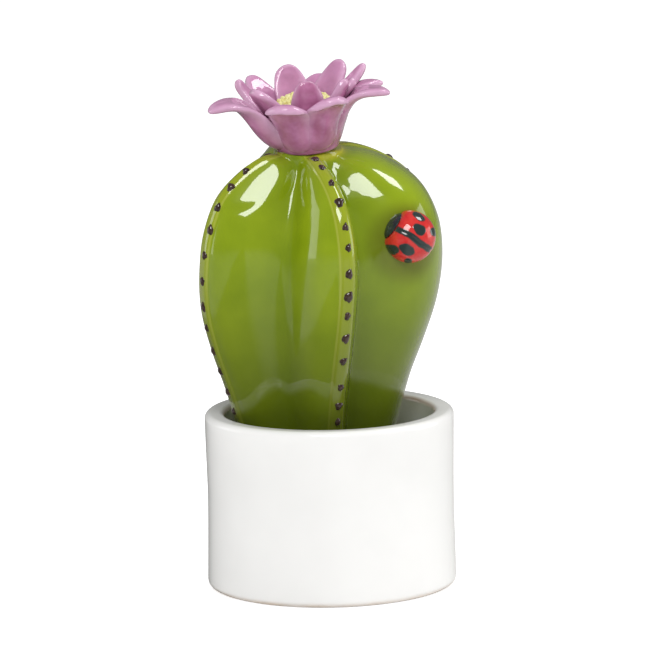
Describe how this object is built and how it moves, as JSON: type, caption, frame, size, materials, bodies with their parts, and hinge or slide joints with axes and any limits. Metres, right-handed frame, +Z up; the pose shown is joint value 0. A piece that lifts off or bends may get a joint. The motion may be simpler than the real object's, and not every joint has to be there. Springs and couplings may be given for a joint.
{
  "type": "ceramic cactus ornament",
  "caption": "Glazed ceramic cactus ornament: a ribbed green body with painted dots, an open lilac bloom and a ladybird on one rib, standing in a plain white cylindrical pot.",
  "frame": {"origin": "middle of the pot's flat underside, on the surface that the ornament stands on", "axes": "+Z up through the pot to the bloom, -Y towards the front, where the dotted front rib faces, +X to the viewer's right, the ladybird's side"},
  "size_m": [0.0652, 0.068, 0.1373],
  "materials": {
    "white_glaze": "glossy",
    "green_glaze": "glossy",
    "lilac_glaze": "glossy",
    "yellow_glaze": "satin",
    "red_glaze": "glossy",
    "black_glaze": "glossy",
    "brown_glaze": "glossy"
  },
  "bodies": {
    "root": {"pot": "white_glaze", "cactus_body": "green_glaze", "flower_petals": "lilac_glaze", "flower_centre": "yellow_glaze", "ladybird_wings": "red_glaze", "ladybird_head": "black_glaze"}
  },
  "joints": []
}
